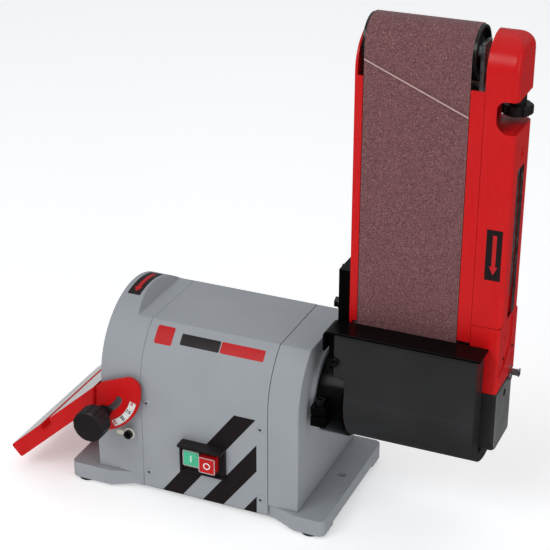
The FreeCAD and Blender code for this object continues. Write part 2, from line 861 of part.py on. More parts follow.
def make_pointer():
    """Cream washer with a blunt pointer, held by a socket screw."""
    x, z = pointer_spot()
    face = -d.quadrant_face + 2
    corners = [(x - 14.5, z - 3.2, 2), (x - 8.0, z - 3.4, 1.5), (x - 7.0, z - 1.8, 0), (x - 1, z - 4, 0),
               (x - 1, z + 4, 0), (x - 7.0, z + 0.9, 0), (x - 8.0, z + 2.3, 1.5), (x - 14.5, z + 1.6, 2)]
    arrow = slab_y([(float(u), float(v), r) for u, v, r in corners], (face - 1, face))
    node(fuse(arrow, rod("Y", (face - 1, face), 6.2, (x, z))), "scale_pointer")
    head = rod("Y", (face - 5, face - 1), 4.6, (x, z))
    node(cut(head, hexagon("Y", (face - 6, face - 3), 4.0, (x, z))), "pointer_screw")


# ---------------------------------------------------------------- belt and rollers

def belt_geometry():
    """Height of the idler above the shaft, from the loop's length and the two rollers."""
    inner_drum = SIZES["drum_radius"] + SIZES["belt_gap"]
    inner_idler = SIZES["idler_radius"] + SIZES["belt_gap"]
    middle = SIZES["belt_thick"] / 2
    offset = inner_drum - inner_idler
    wrap = math.pi * (inner_drum + inner_idler + 2 * middle)
    apart = (SIZES["belt_length"] - wrap) / 2
    for _ in range(5):
        lean = 2 * offset * math.asin(offset / math.hypot(apart, offset))
        apart = (SIZES["belt_length"] - wrap - lean) / 2
    return -offset, apart


IDLER_Y, IDLER_HEIGHT = belt_geometry()
IDLER_Z = SHAFT + IDLER_HEIGHT


def loop_wire(drum, idler):
    """Open-belt outline round the drum and the idler, in (y, height) on the plane X = 0."""
    lean = 2 * math.atan2(-IDLER_Y, IDLER_HEIGHT)

    def on(radius, y, height, angle):
        return V(0, y + radius * math.cos(angle), height + radius * math.sin(angle))

    front_low = on(drum, 0, 0, math.pi)
    low = on(drum, 0, 0, -math.pi / 2)
    rear_low = on(drum, 0, 0, lean)
    front_high = on(idler, IDLER_Y, IDLER_HEIGHT, math.pi)
    high = on(idler, IDLER_Y, IDLER_HEIGHT, math.pi / 2)
    rear_high = on(idler, IDLER_Y, IDLER_HEIGHT, lean)
    return Part.Wire([
        Part.Arc(front_low, low, rear_low).toShape(),
        Part.LineSegment(rear_low, rear_high).toShape(),
        Part.Arc(rear_high, high, front_high).toShape(),
        Part.LineSegment(front_high, front_low).toShape(),
    ])


def make_belt():
    gap, thick, width = SIZES["belt_gap"], SIZES["belt_thick"], SIZES["belt_width"]
    drum, idler = SIZES["drum_radius"] + gap, SIZES["idler_radius"] + gap
    outer = Part.Face(loop_wire(drum + thick, idler + thick)).extrude(V(width, 0, 0))
    inner = Part.Face(loop_wire(drum, idler)).extrude(V(width, 0, 0))
    node(feature(outer.cut(inner), d.belt_left, 0, SHAFT), "sanding_belt")


def make_drum():
    body = new_body("drive_drum")
    length = d.belt_width + 2
    rim = d.drum_radius - 4
    web = 6.0
    middle = length / 2
    turned(body, [
        (0, rim), (0, d.drum_radius), (length, d.drum_radius), (length, rim),
        (middle + web / 2, rim), (middle + web / 2, 14), (middle + 25, 14),
        (middle + 25, d.shaft_radius), (middle - 25, d.shaft_radius), (middle - 25, 14),
        (middle - web / 2, 14), (middle - web / 2, rim),
    ])
    place(body, d.belt_left - 1, 0, SHAFT)


def make_idler():
    body = new_body("idler_roller")
    over = d.roller_gap
    length = d.belt_width + 2 * over
    rim = d.idler_radius - 3
    recess, web_end = 4.0, 10.0
    bore = d.axle_radius + 5
    turned(body, [
        (0, rim), (0, d.idler_radius), (length, d.idler_radius), (length, rim),
        (length - recess, rim), (length - recess, bore + 3), (length - 2, bore + 3),
        (length - 2, bore), (length - web_end, bore), (length - web_end, rim),
        (web_end, rim), (web_end, bore), (2, bore), (2, bore + 3), (recess, bore + 3), (recess, rim),
    ])
    window = new_sketch(body, "YZ_Plane", length - web_end - 1)
    draw_circle(window, (rim + bore + 3) / 2, 0, 2.8)
    made = pocket(body, window, web_end + 3, reverse=True)
    repeated_round_x(body, made, 6)
    place(body, d.belt_left - over, IDLER_Y, IDLER_Z)

    left, right = d.belt_left - over, d.belt_left + d.belt_width + over
    centre = (IDLER_Y, IDLER_Z)
    inner = d.axle_radius + 0.05
    rings = [tube((left + 2, left + 9), bore, inner, centre), tube((right - 9, right - 2), bore, inner, centre)]
    node(group(*rings), "idler_bearings")
    node(rod("X", (yoke_left(), yoke_right()), d.axle_radius, centre), "idler_axle")
    make_yoke(centre)


def yoke_left():
    return d.arm_left + d.arm_wall + 0.3


def yoke_right():
    return d.belt_left + d.belt_width + d.roller_gap + 4


GUIDES = (130.0, 184.0)
TRACK_X, TRACK_Y = 239.2, 16.5


def make_yoke(centre):
    """Fork that carries the idler: crossbar, two ears, two guide rods and the tracking arm."""
    low, high = SHAFT + d.spine_top + 26, SHAFT + d.spine_top + 38
    left, right = yoke_left(), yoke_right()
    ear = 2.2
    crossbar = box((left, right), (-16, 12), (low, high))
    ears = [box((left, left + ear), (-12, 10), (low, IDLER_Z + 11)),
            box((right - 3.7, right), (-12, 10), (low, IDLER_Z + 11))]
    rods = [rod("Z", (SHAFT + d.spine_top - 30, low), 8.0, (x, -4)) for x in GUIDES]
    arm_low = SHAFT + d.notch_high + 8
    tracking_arm = box((right - 3.7, TRACK_X + 7), (8, 22.5), (arm_low, arm_low + 5))
    solid = fuse(crossbar, *ears, *rods, tracking_arm)
    bores = [rod("X", (left - 1, right + 1), d.axle_radius, centre),
             rod("Z", (arm_low - 1, arm_low + 6), 4.6, (TRACK_X, TRACK_Y))]
    node(cut(solid, *bores), "idler_yoke")
    top = SHAFT + d.spine_top
    springs = [cut(rod("Z", (top, low), 11.0, (x, -4)), rod("Z", (top - 1, low + 1), 8.6, (x, -4)))
               for x in GUIDES]
    node(group(*springs), "tension_springs")


# ---------------------------------------------------------------- arm structure

def make_arm_frame():
    left, wall = d.arm_left, d.arm_wall
    front = -(d.drum_radius + d.belt_gap + d.belt_thick)
    rear, top = d.arm_rear, d.arm_top
    low = -30.0
    side = slab_x(
        [(front, low, 12), (rear, low, 12), (rear, top, 25), (front, top, 35)],
        (left, left + wall),
    )
    lip = box((left, d.belt_left - 0.6), (front, front + wall), (SHAFT + d.stop_top + 1, SHAFT + d.lip_top))
    back = slab_x([(rear - wall, low + 12, 0), (rear, low + 12, 0), (rear, top - 25, 0), (rear - wall, top - 25, 0)],
                  (left, d.cover_left - d.seam))
    shaft_hole = rod("X", (left - 1, left + wall + 1), 22.0, (0, SHAFT))
    node(cut(fuse(side, lip, back), shaft_hole), "arm_shell")

    inside, floor = left + wall, 4.0
    belt_right = d.belt_left + d.belt_width
    block = box((inside, belt_right - 1), (-24, d.spine_rear), (SHAFT + d.spine_low, SHAFT + d.spine_top))
    cavity = box((inside + floor, belt_right - 1 - floor), (-24 + floor, d.spine_rear - floor),
                 (SHAFT + d.spine_low - 1, SHAFT + d.spine_top - 8))
    guides = [rod("Z", (SHAFT + d.spine_top - 9, SHAFT + d.spine_top + 1), 8.06, (x, -4)) for x in GUIDES]
    node(cut(block, cavity, *guides), "arm_spine")
    make_platen()

    bolts = []
    for height in (166.0, 270.0):
        for y in (-10.0, 6.0):
            bolts.append(hexagon("X", (left - 4, left), 9.0, (y, SHAFT + height)))
    node(group(*bolts), "spine_bolts")

    # inner strip beside the belt's right edge, with a return wall behind it
    strip_left, strip_right = belt_right + 0.6, d.cover_left - d.seam
    strip = box((strip_left, strip_right), (front, front + wall), (SHAFT + d.stop_top + 1, SHAFT + d.lip_top))
    web = box((strip_right - wall, strip_right), (front, rear - wall - 0.3),
              (SHAFT + d.stop_top + 1, SHAFT + d.lip_top - 50))
    bridge = box((belt_right - 1, strip_right), (-18, -6), (SHAFT + 200, SHAFT + 212))
    node(fuse(strip, web, bridge), "inner_guard")


def make_platen():
    body = new_body("platen")
    front = -(d.drum_radius)
    sketch = new_sketch(body, "XY_Plane")
    draw_outline(sketch, [(0, 0), (d.belt_width - 1, 0), (d.belt_width - 1, front + 24), (0, front + 24)])
    length = d.spine_top + 30 - d.spine_low
    pad(body, sketch, length)
    face = float(front) + 24
    soften(body, 2.5, lambda e: along(e, "X") and abs(e.CenterOfMass.y - face) < 0.01)
    place(body, d.belt_left + 0.5, -24, SHAFT + d.spine_low)


def shelled_cover(profile_outer, profile_inner, x, wall, edge_round, crown=None):
    """Cover open on its left: an outer slab less an inner one that stops short of the right face.

    With a crown radius its top also rounds down towards the right face."""
    outer = slab_x(profile_outer, x)
    inner = slab_x(profile_inner, (x[0] - 1, x[1] - wall))
    right = float(as_size(x[1]))
    if crown:
        top, deep, reach = float(SHAFT) + float(profile_outer[2][1]), 60.0, 400.0
        gauge, inner_gauge = (
            slab_y([(right - 90, top - reach, 0), (right - less, top - reach, 0),
                    (right - less, top - less, crown - less), (right - 90, top - less, 0)], (-deep, deep))
            for less in (0.0, float(wall)))
        outer, inner = common(outer, gauge), common(inner, inner_gauge)
    soft = rounded(outer, edge_round, lambda e: e.BoundBox.XMin > right - 0.01)
    return cut(soft, inner)


def make_covers():
    left, right, wall = d.cover_left, d.cover_right, d.arm_wall
    front = -(d.drum_radius + d.belt_gap + d.belt_thick)
    rear, low, top = d.cover_rear, d.cover_low, d.cover_top
    outer = [(front, low, 0), (rear, low, 0), (rear, top, 20.5), (front, top, 33)]
    inner = [(front + wall, low - 1, 0), (rear - wall, low - 1, 0),
             (rear - wall, top - wall, 18), (front + wall, top - wall, 30.5)]
    shell = shelled_cover(outer, inner, (left, right), wall, 5.5, crown=16.0)
    floor = box((left, right - 3), (front, rear), (SHAFT + d.notch_low - wall, SHAFT + d.notch_low))
    roof = box((left, right - 3), (front, rear), (SHAFT + d.notch_high, SHAFT + d.notch_high + wall))
    notch = [(right - 19, d.notch_low, 12), (right + 20, d.notch_low, 0),
             (right + 20, d.notch_high, 0), (right - 19, d.notch_high, 9)]
    front_notch = feature(
        Part.Face(tangent_wire([(float(u), float(v), r) for u, v, r in notch], lambda p: V(p.x, 0, p.y)))
        .extrude(V(0, 40, 0)), 0, front - 5, SHAFT)
    rear_window = box((left - 1, right + 5), (front + 8, rear + 5), (SHAFT + d.notch_low, SHAFT + d.notch_high))
    # the lever lies in a long slot, closed inside by a channel down to the cover's lower edge
    slot_front, slot_rear, channel_top = -12.5, 10.0, SHAFT + 254
    lever_slot = slab_x([(slot_front, low - 1, 0), (slot_rear, low - 1, 0),
                         (slot_rear, 270, 3), (slot_front, 270, 3)], (right - 2 * wall, right + 5))
    channel_span = (slot_front - 1.6, slot_rear + 2.6)
    channel_floor = box((right - 13, right - 11), channel_span, (SHAFT + low, channel_top))
    channel_sides = [box((right - 13, right - wall), ends, (SHAFT + low, channel_top))
                     for ends in ((channel_span[0], slot_front - 0.1), (slot_rear + 1.1, channel_span[1]))]
    stem_hole = rod("Z", (SHAFT + d.notch_high - 1, SHAFT + d.notch_high + wall + 1), 7.0, (TRACK_X, TRACK_Y))
    slotted = cut(shell, lever_slot)
    screw_slit = box((right - 4, right + 1), (-3.4, -1.0), (SHAFT + 277, SHAFT + 290))
    openings = (front_notch, rear_window, stem_hole, screw_slit)
    node(cut(fuse(slotted, floor, roof, channel_floor, *channel_sides), *openings), "side_cover")

    # lower cover beside the drum and the black cap under it
    join, under = 45.0, -22.0
    outer = [(front, join + 0.3, 0), (31.5, join + 0.3, 0), (31.5, low - 0.6, 0), (front, low - 0.6, 0)]
    inner = [(front + wall, join - 1, 0), (31.5 - wall, join - 1, 0),
             (31.5 - wall, low, 0), (front + wall, low, 0)]
    shell = shelled_cover(outer, inner, (left, right - 0.5), wall, 4.0)
    # the lever's slot runs out into a shallow curved relief at the front of this cover
    relief = slab_x([(-40, 120, 0), (13, 120, 0), (13, 86, 18), (-10, 67, 20), (-40, 60, 0)],
                    (right - 1.7, right + 1))
    vents = [box((right - 4, right + 1), (-8.6, -6.6), (SHAFT + 95, SHAFT + 104)),
             box((right - 4, right + 1), (14.6, 16.4), (SHAFT + 62, SHAFT + 71))]
    node(cut(shell, relief, *vents), "lower_cover")
    outer = [(front, under, 12), (27.5, under, 6), (27.5, join, 0), (front, join, 0)]
    inner = [(front + wall, under + wall, 9.5), (27.5 - wall, under + wall, 3.5),
             (27.5 - wall, join + 1, 0), (front + wall, join + 1, 0)]
    cap = shelled_cover(outer, inner, (left, right - 0.5), wall, 5.0)
    screw_spot = (0, SHAFT + 34)
    boss = rod("X", (right - 16, right - 2), 7.0, screw_spot)
    node(cut(fuse(cap, boss), rod("X", (right - 8, right + 1), 4.0, screw_spot)), "end_cap")

    heads = [
        rod("X", (right, right + 0.8), 1.6, (1.6, SHAFT + 281)),
        rod("X", (right - 1.7, right - 1.0), 1.4, (-10.5, SHAFT + 76)),
        rod("X", (right - 0.5, right + 0.3), 1.4, (16.0, SHAFT + 78)),
        rod("X", (right - 8, right - 2.5), 3.9, screw_spot),
    ]
    node(group(*heads), "side_screws")
    make_latch(right - 0.5)


def make_latch(face):
    """Sheet-metal catch of the lower cover: an upright tab with a bent end, over its eyelet."""
    low, high, reach = SHAFT + 49, SHAFT + 56, 11.0
    tab = box((face, face + reach), (10, 11.4), (low, high))
    bent_end = box((face + reach - 1.4, face + reach), (8.6, 14), (low, high))
    root = box((face, face + 1.2), (10, 18), (low - 1.6, high))
    eyelet = tube((face, face + 2.2), 3.4, 2.1, (14.0, SHAFT + 44.4))
    node(fuse(tab, bent_end, root, eyelet), "cover_latch")


# ---------------------------------------------------------------- work stop, guard and pivot

def make_stop_plate():
    left, right, thick = 83.0, 240.5, 2.5
    front, rear = -59.0, -31.5
    top = SHAFT + d.stop_top
    lip, bend = 22.0, 6.0
    height = float(top)
    corners = [
        (left, height - lip, 0), (left + thick, height - lip, 0), (left + thick, height - thick, bend - thick),
        (right, height - thick, 0), (right, height, 0), (left, height, bend),
    ]
    node(slab_y(corners, (front, rear)), "stop_plate")


def guard_profile(radius, y_front, top):
    """Flat front, round belly and open rear, as the corners of a closed outline of the inside."""
    centre_y, centre_z = SIZES["guard_y"], SIZES["guard_z"]
    crease = centre_z + math.sqrt(radius ** 2 - (y_front - centre_y) ** 2)
    rear_y = 28.0
    rear_z = centre_z - math.sqrt(radius ** 2 - (rear_y - centre_y) ** 2)
    start = V(0, y_front, crease)
    bottom = V(0, centre_y, centre_z - radius)
    end = V(0, rear_y, rear_z)
    return start, bottom, end, V(0, y_front, top)


def guard_solid(radius, y_front, top, length, extra=0.0):
    start, bottom, end, high = guard_profile(radius, y_front, top)
    edges = [
        Part.LineSegment(high, start).toShape(),
        Part.Arc(start, bottom, end).toShape(),
        Part.LineSegment(end, V(0, end.y + extra, top)).toShape(),
        Part.LineSegment(V(0, end.y + extra, top), high).toShape(),
    ]
    return Part.Face(Part.Wire(edges)).extrude(V(length, 0, 0))


def make_guard():
    thick = SIZES["guard_thick"]
    radius = SIZES["guard_radius"]
    front, top = -53.5, SIZES["stop_top"] - 2.5
    left, right = SIZES["guard_tab_left"], SIZES["guard_right"]
    length = right - left
    outer = guard_solid(radius, front, top, length)
    inner = guard_solid(radius - thick, front + thick, top + 1, length - thick, extra=20.0)
    shell = outer.cut(inner)
    # the end wall stays only in front of and below the end cap
    reach = 200.0
    front_clear, low_clear = -29.2, -22.8
    opening = Part.makeBox(thick + 2, reach, reach, V(length - thick - 1, front_clear, low_clear))
    # the round part is shorter on the left than the flat panel above it
    step = SIZES["guard_left"] - left
    notch = Part.makeBox(step + 1, reach, 43.0 + 60.0, V(-1, -100, -60.0))
    node(feature(shell.cut(opening).cut(notch), d.guard_tab_left, 0, SHAFT), "drum_guard")
    spot = (d.guard_tab_left + 1.5, SHAFT + 61)
    head = rod("Y", (front - 4, front), 4.4, spot)
    node(cut(head, hexagon("Y", (front - 5, front - 1.5), 4.0, spot)), "guard_screw")


def make_pivot():
    left, bore = d.hub_left, d.spigot_radius + d.hub_clearance
    plate_right = d.arm_left
    hub = rod("X", (left, plate_right), d.hub_radius, (0, SHAFT))
    bracket = box((87, plate_right), (-28.3, 25), (SHAFT, SHAFT + 148))
    tab = box((87, plate_right), (-51.4, -28.3), (SHAFT + 50, SHAFT + d.stop_top - 2.5))
    ear_low, ear_top = SHAFT - 13.5, SHAFT + 8
    ears = box((left, left + 16), (-60, -38), (ear_low, ear_top))
    bolt_x, bolt_y = left + 8, -53.0
    solid = fuse(hub, bracket, tab, ears)
    slit = box((left - 1, left + 17), (-61, -20), (SHAFT - 2.8, SHAFT - 0.8))
    clear = rod("X", (left - 1, plate_right + 1), bore, (0, SHAFT))
    bolt_hole = rod("Z", (ear_low - 1, ear_top + 1), 3.1, (bolt_x, bolt_y))
    node(cut(solid, slit, clear, bolt_hole), "pivot_hub")
    shank = rod("Z", (ear_low, ear_top), 3.0, (bolt_x, bolt_y))
    head = rod("Z", (ear_top, ear_top + 7), 5.0, (bolt_x, bolt_y))
    socket = hexagon("Z", (ear_top + 3, ear_top + 8), 5.0, (bolt_x, bolt_y))
    node(cut(fuse(shank, head), socket), "hub_clamp_bolt")
    heads = [fuse(hexagon("X", (81, 87), 10.0, (y, SHAFT + z)), rod("X", (85.5, 87), 6.5, (y, SHAFT + z)))
             for y, z in ((-20, 108), (14, 108), (-3, 136))]
    node(group(*heads), "bracket_bolts")


# ---------------------------------------------------------------- tension and tracking

LEVER_PIVOT = (245.0, 262.0)


def make_lever():
    """Tension lever lying in the slot: folded steel strip on a cross pin."""
    x, height = LEVER_PIVOT
    strip = [(-6.5, 254, 0), (8, 254, 0), (8, 268, 5), (-6.5, 268, 5)]
    tip = [(-6.5, 150, 0), (0.75, 134, 2), (8, 150, 0), (8, 256, 0), (-6.5, 256, 0)]
    pin_bore = 2.56
    flat = fuse(slab_x(strip, (x - 3, x + 3)), slab_x(tip, (x - 1, x + 3)))
    rib = box((x - 3, x - 1), (-6.5, -4.5), (SHAFT + 160, SHAFT + 256))
    other_rib = box((x - 3, x - 1), (6, 8), (SHAFT + 160, SHAFT + 256))
    node(cut(fuse(flat, rib, other_rib), rod("Y", (-8, 9), pin_bore, (x, SHAFT + height))), "tension_lever")
    node(rod("Y", (-9.3, 10.8), 2.5, (x, SHAFT + height)), "lever_pin")
    ears = [box((x - 8, x + 2.4), ends, (SHAFT + height - 5, SHAFT + height + 12))
            for ends in ((-9.3, -7.3), (8.8, 10.8))]
    plate = box((d.cover_left - d.seam, x - 8), (-9.3, 10.8), (SHAFT + height + 3, SHAFT + height + 12))
    holes = rod("Y", (-10, 11), 2.5, (x, SHAFT + height))
    node(cut(fuse(plate, *ears), holes), "lever_bracket")


def make_tracking():
    """Lobed tracking knob with its screw, turned about Z."""
    body = new_body("tracking_knob")
    low = d.notch_low + 6
    height, radius, collar, length = 9.5, 14.75, 8.0, 44.0
    turned(body, [(0, 0), (0, radius - 1.5), (1.5, radius), (height - 1.5, radius), (height, radius - 1.5),
                  (height, collar), (height + 12, collar), (height + 12, 4), (length, 4), (length, 0)])
    scallop = new_sketch(body, "YZ_Plane", -1)
    draw_circle(scallop, radius + 2.0, 0, 4.2)
    made = pocket(body, scallop, height + 2, reverse=True)
    repeated_round_x(body, made, 7)
    place(body, TRACK_X, TRACK_Y, SHAFT + low, FreeCAD.Rotation(AXES["Y"], -90))


# ---------------------------------------------------------------- build, check and write

make_base()
make_housings()
make_cover_screws()
make_gland()
make_motor()
make_disc()
make_switch()
make_table()
make_clamps()
make_pointer()
make_belt()
make_drum()
make_idler()
make_arm_frame()
make_covers()
make_stop_plate()
make_guard()
make_pivot()
make_lever()
make_tracking()
doc.recompute()

for obj in doc.Objects:
    if "Invalid" in obj.State or "Error" in obj.State:
        raise RuntimeError(f"{obj.Label} failed: {obj.State}")

os.makedirs("parts", exist_ok=True)
for obj in NODES:
    shape = obj.Shape
    if shape.isNull() or not shape.isValid() or not shape.Solids:
        raise RuntimeError(f"{obj.Label} has no valid solid")
    shape.exportStep(f"parts/{obj.Label}.step")
print(len(NODES), "sub-parts written")
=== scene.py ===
import json
import math

import bmesh
import bpy
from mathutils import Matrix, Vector


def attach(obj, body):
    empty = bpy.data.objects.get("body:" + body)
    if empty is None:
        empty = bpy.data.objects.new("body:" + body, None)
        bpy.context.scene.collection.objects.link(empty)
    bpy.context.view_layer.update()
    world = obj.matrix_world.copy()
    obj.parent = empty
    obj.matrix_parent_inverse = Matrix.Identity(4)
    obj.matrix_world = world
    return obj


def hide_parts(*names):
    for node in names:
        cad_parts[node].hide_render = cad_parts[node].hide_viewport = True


# Looks of a bench belt and disc sander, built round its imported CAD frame. Units are metres.
# +X runs along the motor shaft from the disc to the belt, -Y towards the user, +Z up.

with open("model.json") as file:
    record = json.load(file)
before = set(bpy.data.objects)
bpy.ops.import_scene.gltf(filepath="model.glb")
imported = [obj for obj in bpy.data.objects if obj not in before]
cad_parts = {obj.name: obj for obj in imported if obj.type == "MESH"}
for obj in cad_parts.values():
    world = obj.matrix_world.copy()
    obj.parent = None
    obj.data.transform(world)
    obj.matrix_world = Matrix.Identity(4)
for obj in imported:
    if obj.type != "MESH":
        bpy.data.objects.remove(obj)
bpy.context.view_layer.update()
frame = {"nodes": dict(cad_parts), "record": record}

SHAFT_Z = 0.128
HOUSING_RADIUS = 0.080
TILT_AXIS = Vector((-0.1605, 0.0, 0.126))
TILT_ANGLE = math.radians(42.0)
BELT_FRONT_Y = -0.0285
BELT_X = (0.107, 0.207)
COVER_FRONT = -0.0285
QUADRANT_FACE = -0.088

BODY_OF = {node: body for body, nodes in frame["record"]["behaviour"]["bodies"].items() for node in nodes}
SLOT_OF = {part["node"]: part["material_slot"] for part in frame["record"]["subparts"]}


# ---------------------------------------------------------------- node graphs

class Graph:
    """Builds one procedural material; inputs take plain values or the sockets of other nodes."""

    def __init__(self, name):
        self.material = bpy.data.materials.new(name)
        self.material.use_nodes = True
        self.tree = self.material.node_tree
        self.shader = self.tree.nodes["Principled BSDF"]
        self.place = self.add("TexCoord").outputs["Object"]

    def add(self, kind, inputs=None, **settings):
        made = self.tree.nodes.new("ShaderNode" + kind)
        for key, value in settings.items():
            setattr(made, key, value)
        for key, value in (inputs or {}).items():
            self.feed(made.inputs[key], value)
        return made

    def feed(self, socket, value):
        if isinstance(value, bpy.types.NodeSocket):
            self.tree.links.new(value, socket)
        else:
            socket.default_value = value

    def surface(self, **values):
        for key, value in values.items():
            self.feed(self.shader.inputs[key.replace("_", " ")], value)

    def stretched(self, x, y, z):
        return self.add("Mapping", {"Vector": self.place, "Scale": (x, y, z)}).outputs["Vector"]

    def noise(self, scale, detail=3.0, rough=0.5, vector=None):
        made = self.add("TexNoise", {"Vector": vector or self.place, "Scale": scale,
                                     "Detail": detail, "Roughness": rough})
        return made.outputs["Fac"]

    def cells(self, scale, feature="F1", output="Distance", vector=None):
        made = self.add("TexVoronoi", {"Vector": vector or self.place, "Scale": scale}, feature=feature)
        return made.outputs[output]

    def math(self, operation, a, b=0.0, clamp=False):
        made = self.add("Math", {0: a, 1: b}, operation=operation, use_clamp=clamp)
        return made.outputs[0]

    def remap(self, value, low, high, to_low=0.0, to_high=1.0):
        made = self.add("MapRange", {"Value": value, "From Min": low, "From Max": high,
                                     "To Min": to_low, "To Max": to_high})
        return made.outputs["Result"]

    def blend(self, factor, a, b, mode="MIX"):
        made = self.add("Mix", data_type="RGBA", blend_type=mode)
        self.feed(made.inputs["Factor"], factor)
        self.feed(made.inputs[6], rgba(a))
        self.feed(made.inputs[7], rgba(b))
        return made.outputs[2]

    def bump(self, height, distance, strength=1.0, below=None):
        inputs = {"Height": height, "Distance": distance, "Strength": strength}
        if below is not None:
            inputs["Normal"] = below
        return self.add("Bump", inputs).outputs["Normal"]

    def xyz(self, vector=None):
        return self.add("SeparateXYZ", {"Vector": vector or self.place}).outputs


def rgba(colour):
    if isinstance(colour, bpy.types.NodeSocket):
        return colour
    return (*colour[:3], 1.0)


def shade(colour, factor):
    return tuple(min(1.0, c * factor) for c in colour[:3])


# ---------------------------------------------------------------- materials

def powder_coat(name, colour, roughness=0.38, texture=0.5, coat=0.15, variation=0.06, specular=0.3):
    """Baked powder coat: fine orange peel, faint mottling and rub marks."""
    g = Graph(name)
    mottle = g.noise(22.0, 4.0)
    drift = g.noise(6.0, 2.0)
    base = g.blend(g.remap(mottle, 0.35, 0.65), shade(colour, 1 - variation), shade(colour, 1 + variation))
    base = g.blend(g.remap(drift, 0.4, 0.6, 0.0, 0.25), base, shade(colour, 0.88))
    speck = g.remap(g.noise(1900.0, 1.0), 0.66, 0.74)
    base = g.blend(g.math("MULTIPLY", speck, 0.18), base, shade(colour, 1.35))
    rub = g.noise(60.0, 5.0, 0.65, g.stretched(1.0, 1.0, 0.25))
    peel = g.noise(700.0, 2.0)
    grain = g.noise(2600.0, 1.0)
    normal = g.bump(peel, 0.00006 * texture)
    normal = g.bump(grain, 0.00002 * texture, below=normal)
    rough = g.remap(rub, 0.3, 0.7, roughness - 0.06, roughness + 0.09)
    g.surface(Base_Color=base, Roughness=rough, Normal=normal)
    g.surface(Coat_Weight=coat, Coat_Roughness=0.22, Specular_IOR_Level=specular)
    return g.material


def moulded(name, colour, roughness=0.3, grain_scale=1600.0, grain=0.00003, coat=0.0, specular=0.5):
    """Moulded plastic with a fine spark-eroded texture."""
    g = Graph(name)
    flow = g.noise(35.0, 4.0, 0.6)
    base = g.blend(g.remap(flow, 0.3, 0.7), shade(colour, 0.85), shade(colour, 1.25))
    texture = g.cells(grain_scale)
    smear = g.noise(80.0, 4.0, 0.6)
    normal = g.bump(texture, grain)
    rough = g.remap(smear, 0.3, 0.7, roughness - 0.07, roughness + 0.1)
    g.surface(Base_Color=base, Roughness=rough, Normal=normal)
    g.surface(Coat_Weight=coat, Coat_Roughness=0.12, Specular_IOR_Level=specular)
    return g.material


def brushed(name, colour, roughness=0.28, direction=(1.0, 1.0, 1.0), depth=0.00002, stain=0.12, metallic=1.0):
    """Machined or brushed metal, its fine lines running the long way of the stretch."""
    g = Graph(name)
    lines = g.noise(900.0, 3.0, 0.6, g.stretched(*direction))
    broad = g.noise(26.0, 4.0, 0.6)
    base = g.blend(g.remap(lines, 0.3, 0.7), shade(colour, 0.86), shade(colour, 1.1))
    base = g.blend(g.remap(broad, 0.45, 0.75, 0.0, stain), base, shade(colour, 0.5))
    normal = g.bump(lines, depth)
    rough = g.remap(g.math("ADD", g.math("MULTIPLY", lines, 0.5), g.math("MULTIPLY", broad, 0.5)),
                    0.3, 0.7, roughness - 0.08, roughness + 0.14)
    g.surface(Base_Color=base, Roughness=rough, Normal=normal, Metallic=metallic)
    return g.material


def galvanised(name, dark=(0.36, 0.38, 0.40), pale=(0.62, 0.64, 0.66)):
    """Zinc coated sheet: angular spangle in slightly different greys."""
    g = Graph(name)
    spangle = g.cells(170.0, output="Color")
    tone = g.add("SeparateColor", {"Color": spangle}).outputs[0]
    fine = g.noise(420.0, 4.0, 0.7)
    base = g.blend(tone, dark, pale)
    base = g.blend(g.remap(fine, 0.45, 0.7, 0.0, 0.5), base, shade(dark, 0.6))
    normal = g.bump(fine, 0.00003)
    g.surface(Base_Color=base, Roughness=g.remap(tone, 0.0, 1.0, 0.3, 0.52), Metallic=0.85, Normal=normal)
    return g.material


def grit_cloth(name, spliced=False):
    """Red-brown abrasive cloth: packed grains with pale tips, and a bonded splice across the belt with a painted
    shadow either side of it.
    """
    g = Graph(name)
    grain_colour = g.add("SeparateColor", {"Color": g.cells(1250.0, output="Color")}).outputs
    clump = g.noise(520.0, 3.0, 0.7)
    wide = g.noise(14.0, 3.0)
    base = g.blend(grain_colour[0], (0.070, 0.021, 0.023), (0.270, 0.112, 0.120))
    base = g.blend(g.remap(clump, 0.35, 0.65, 0.0, 0.45), base, (0.105, 0.036, 0.040))
    base = g.blend(g.remap(grain_colour[1], 0.965, 0.985, 0.0, 0.7), base, (0.42, 0.27, 0.27))
    base = g.blend(g.remap(wide, 0.35, 0.65, 0.0, 0.14), base, (0.20, 0.080, 0.085))
    height = g.math("ADD", g.math("MULTIPLY", g.cells(1250.0), -1.0), g.math("MULTIPLY", clump, 0.4))
    normal = g.bump(height, 0.00025, 0.8)
    if spliced:
        where = g.xyz()
        low_z, high_z = 0.4470, 0.4890
        rise = (high_z - low_z) / (BELT_X[1] - BELT_X[0])
        line = g.math("ADD", g.math("MULTIPLY", g.math("SUBTRACT", where["X"], BELT_X[1]), rise), where["Z"])
        ragged = g.math("MULTIPLY", g.math("SUBTRACT", g.noise(700.0, 2.0), 0.5), 0.0005)
        off = g.math("ABSOLUTE", g.math("SUBTRACT", g.math("ADD", line, ragged), low_z))
        on_front = g.math("LESS_THAN", where["Y"], BELT_FRONT_Y + 0.0008)
        seam = g.math("MULTIPLY", g.remap(off, 0.0004, 0.0009, 1.0, 0.0), on_front)
        # painted shadow: the cloth is darkened in a band either side of the splice line, standing in for the
        # shade of the splice's step
        splice_shade = g.math("MULTIPLY", g.remap(off, 0.0010, 0.0060, 0.28, 0.0), on_front)
        base = g.blend(splice_shade, base, (0.085, 0.026, 0.028))
        base = g.blend(g.math("MULTIPLY", seam, 0.85), base, (0.60, 0.42, 0.40))
    g.surface(Base_Color=base, Roughness=g.remap(clump, 0.3, 0.7, 0.62, 0.85), Normal=normal)
    g.surface(Sheen_Weight=0.12, Specular_IOR_Level=0.35)
    return g.material


